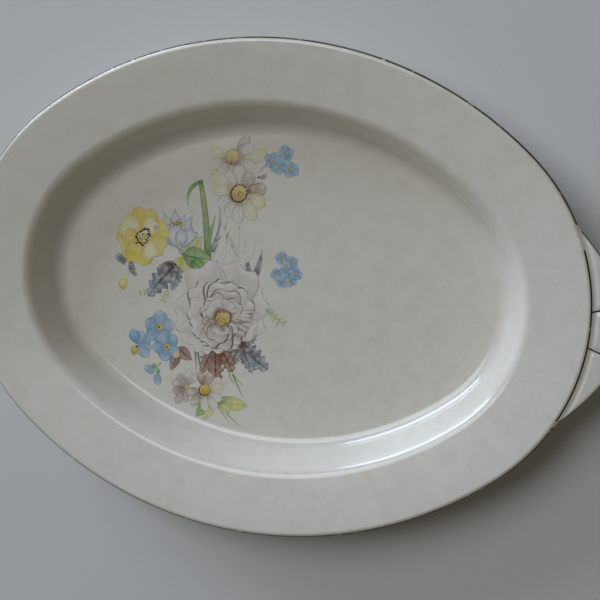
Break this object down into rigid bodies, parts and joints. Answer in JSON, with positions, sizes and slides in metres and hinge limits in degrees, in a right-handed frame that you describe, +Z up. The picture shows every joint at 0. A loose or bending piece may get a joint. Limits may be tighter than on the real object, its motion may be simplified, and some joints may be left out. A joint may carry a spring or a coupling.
{
  "type": "china serving platter",
  "caption": "Oval china serving platter with a wide flange, a sunk well, lug handles and a printed spray of garden flowers.",
  "frame": {"origin": "centre of the foot ring's underside, on the surface the platter stands on", "axes": "+Z up out of the well, +X along the long axis towards the right lug handle, +Y across towards the top of the spray"},
  "size_m": [0.3672, 0.2542, 0.033],
  "materials": {
    "fired_body": "fired clay body, bare and matt on the foot's sole",
    "clear_glaze": "glossy ivory glaze, lightly crazed",
    "dull_platinum_line": "worn, tarnished metal lustre line",
    "black_line": "fired black line",
    "cream_enamel": "fired transfer enamel, cream and pink-brown",
    "yellow_enamel": "fired transfer enamel, yellow",
    "blue_enamel": "fired transfer enamel, blue",
    "mauve_enamel": "fired transfer enamel, pale mauve",
    "green_enamel": "fired transfer enamel, green",
    "brown_enamel": "fired transfer enamel, slate and brown"
  },
  "bodies": {
    "root": {"dish_body": "fired_body", "foot_ring": "fired_body", "right_lug_handle": "fired_body", "left_lug_handle": "fired_body", "glaze_coat": "clear_glaze", "rim_edge_line": "dull_platinum_line", "right_lug_edge_line": "dull_platinum_line", "left_lug_edge_line": "dull_platinum_line", "lug_root_lines": "black_line", "right_fan_lines": "black_line", "left_fan_lines": "black_line", "peony_transfer": "cream_enamel", "poppy_transfer": "yellow_enamel", "tulip_transfer": "blue_enamel", "forget_me_not_transfer": "blue_enamel", "upper_daisy_transfer": "mauve_enamel", "lower_daisy_transfer": "mauve_enamel", "bud_transfer": "blue_enamel", "dark_leaf_transfer": "brown_enamel", "green_leaf_transfer": "green_enamel", "stem_transfer": "green_enamel"}
  },
  "joints": []
}
